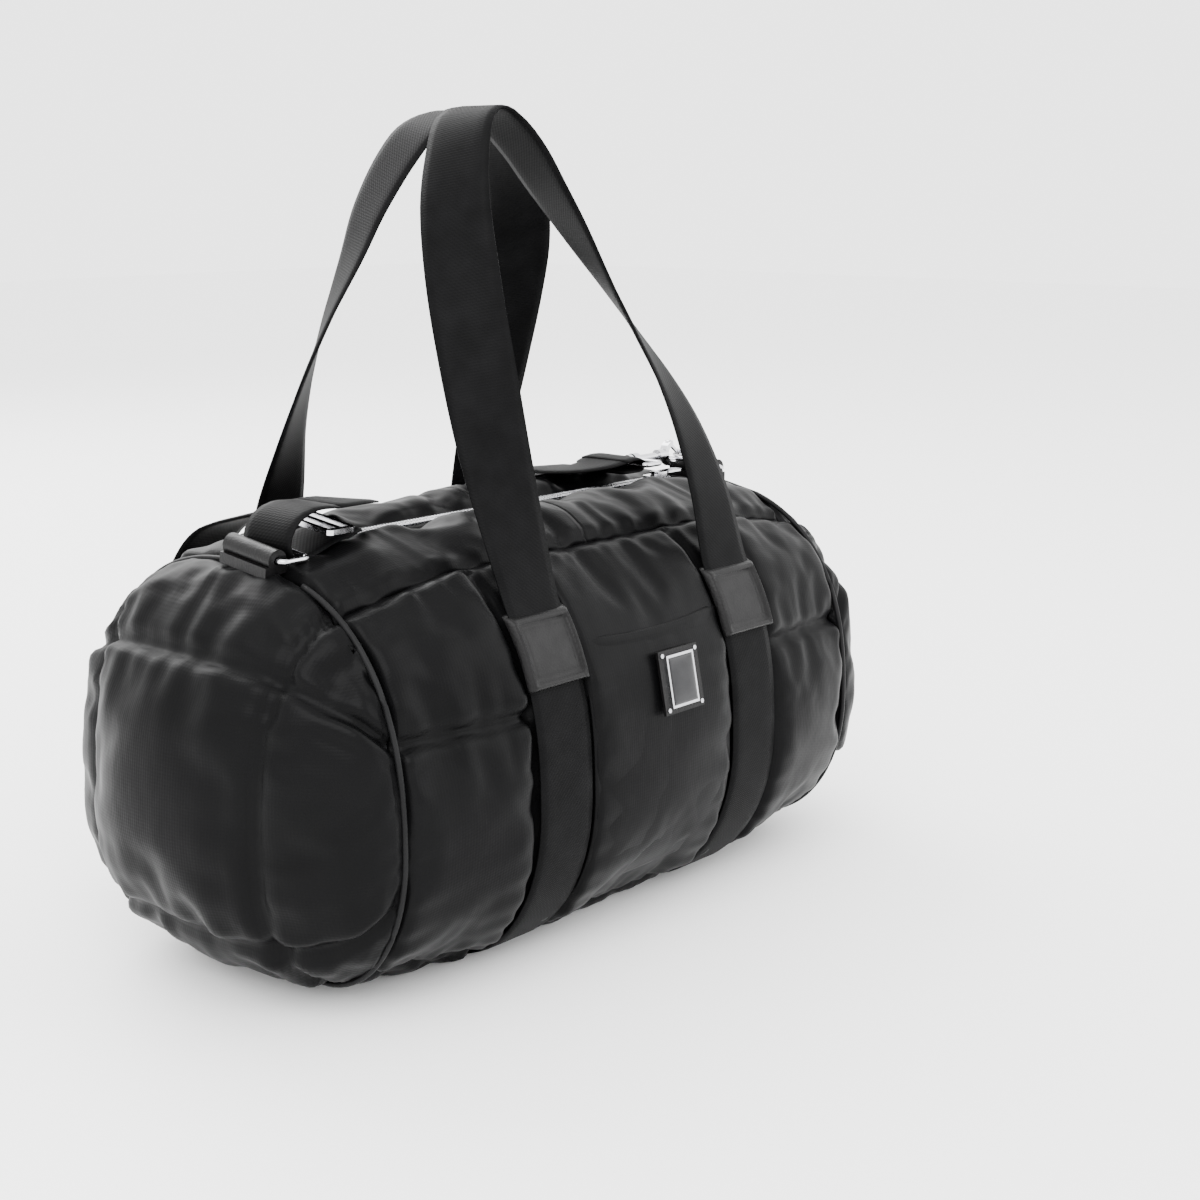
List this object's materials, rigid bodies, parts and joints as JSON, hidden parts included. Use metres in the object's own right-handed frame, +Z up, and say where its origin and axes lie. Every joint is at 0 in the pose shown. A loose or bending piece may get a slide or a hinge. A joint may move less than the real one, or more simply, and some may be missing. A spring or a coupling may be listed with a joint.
{
  "type": "baby changing bag",
  "caption": "Soft quilted barrel duffel used as a baby changing bag, with a zipped top, twisted webbing handles, a patch pocket and a clip-on shoulder strap.",
  "frame": {"origin": "on the floor under the bag's middle, the centre of the flat underside", "axes": "+X along the barrel towards the snap hook's end, -Y the front with the pocket, +Z up"},
  "size_m": [0.4814, 0.3052, 0.4362],
  "materials": {
    "nylon": "satin padded nylon",
    "webbing": "matte twill webbing",
    "leather": "smooth, slightly glossy",
    "silver_metal": "polished",
    "zip_metal": "polished teeth",
    "zip_tape": "woven tape",
    "lining": "plain weave",
    "board": "matte",
    "piping": "bound cord"
  },
  "bodies": {
    "bag": {"front_panel": "nylon", "back_panel": "nylon", "base_panel": "nylon", "left_end_panel": "nylon", "right_end_panel": "nylon", "left_top_panel": "nylon", "right_top_panel": "nylon", "lining": "lining", "base_board": "board", "left_zip_end_tapes": "zip_tape", "right_zip_end_tapes": "zip_tape", "left_zip_end_teeth": "zip_metal", "right_zip_end_teeth": "zip_metal", "left_zip_stop": "zip_tape", "right_zip_stop": "zip_tape", "left_body_webbing": "webbing", "right_body_webbing": "webbing", "front_left_patch": "leather", "front_right_patch": "leather", "back_left_patch": "leather", "back_right_patch": "leather", "front_pocket": "nylon", "badge_backing": "leather", "badge_plate": "silver_metal", "badge_rivets": "silver_metal", "left_end_tab": "leather", "right_end_tab": "leather", "left_end_piping": "piping", "right_end_piping": "piping", "left_strap_loop": "webbing", "right_strap_loop": "webbing", "swivel_eye": "silver_metal"},
    "front_flap": {"front_flap": "nylon", "front_zip_tape": "zip_tape", "front_zip_teeth": "zip_metal"},
    "back_flap": {"back_flap": "nylon", "back_zip_tape": "zip_tape", "back_zip_teeth": "zip_metal"},
    "zip_slider": {"zip_slider": "silver_metal"},
    "zip_puller": {"zip_puller": "silver_metal"},
    "left_ring": {"left_ring": "silver_metal"},
    "right_ring": {"right_ring": "silver_metal"},
    "strap_slider": {"strap_slider": "silver_metal"},
    "snap_hook": {"snap_hook": "silver_metal"},
    "hook_gate": {"hook_gate": "silver_metal"},
    "shoulder_strap": {"shoulder_strap": "webbing"},
    "front_handle": {"front_handle": "webbing"},
    "back_handle": {"back_handle": "webbing"}
  },
  "joints": [
    {"name": "front_flap_fold", "type": "hinge", "parent": "bag", "child": "front_flap", "pos_m": [0, -0.0698, 0.2118], "axis": [1, 0, 0], "range_deg": [0, 60]},
    {"name": "back_flap_fold", "type": "hinge", "parent": "bag", "child": "back_flap", "pos_m": [0, 0.0698, 0.2118], "axis": [-1, 0, 0], "range_deg": [0, 60]},
    {"name": "zip_slide", "type": "slide", "parent": "bag", "child": "zip_slider", "axis": [-1, 0, 0], "range_m": [0, 0.225]},
    {"name": "puller_flip", "type": "hinge", "parent": "zip_slider", "child": "zip_puller", "pos_m": [0.139, 0, 0.2229], "axis": [0, -1, 0], "range_deg": [0, 110]},
    {"name": "left_ring_swing", "type": "hinge", "parent": "bag", "child": "left_ring", "pos_m": [-0.182, -0.014, 0.2225], "axis": [0, -0.9925, -0.1219], "range_deg": [0, 12]},
    {"name": "right_ring_swing", "type": "hinge", "parent": "bag", "child": "right_ring", "pos_m": [0.182, 0.002, 0.2225], "axis": [0, 1, 0], "range_deg": [0, 2]},
    {"name": "strap_adjust", "type": "slide", "parent": "bag", "child": "strap_slider", "axis": [1, 0, 0], "range_m": [-0.008, 0.008]},
    {"name": "hook_swivel", "type": "hinge", "parent": "bag", "child": "snap_hook", "pos_m": [0.145, 0.01, 0.231], "axis": [1, 0, 0], "range_deg": [-8, 8]},
    {"name": "gate_open", "type": "hinge", "parent": "snap_hook", "child": "hook_gate", "pos_m": [0.16453, 0.01, 0.23777], "axis": [0, 1, 0], "range_deg": [0, 16], "stiffness_Nm_per_rad": 0.01, "springref_deg": -11.46},
    {"name": "strap_swing", "type": "hinge", "parent": "bag", "child": "shoulder_strap", "pos_m": [0, 0.006, 0.229], "axis": [1, 0, 0], "range_deg": [0, 145]},
    {"name": "front_handle_swing", "type": "hinge", "parent": "bag", "child": "front_handle", "pos_m": [0, -0.1035, 0.1905], "axis": [1, 0, 0], "range_deg": [0, 145]},
    {"name": "back_handle_swing", "type": "hinge", "parent": "bag", "child": "back_handle", "pos_m": [0, 0.1035, 0.1905], "axis": [-1, 0, 0], "range_deg": [0, 145]}
  ]
}
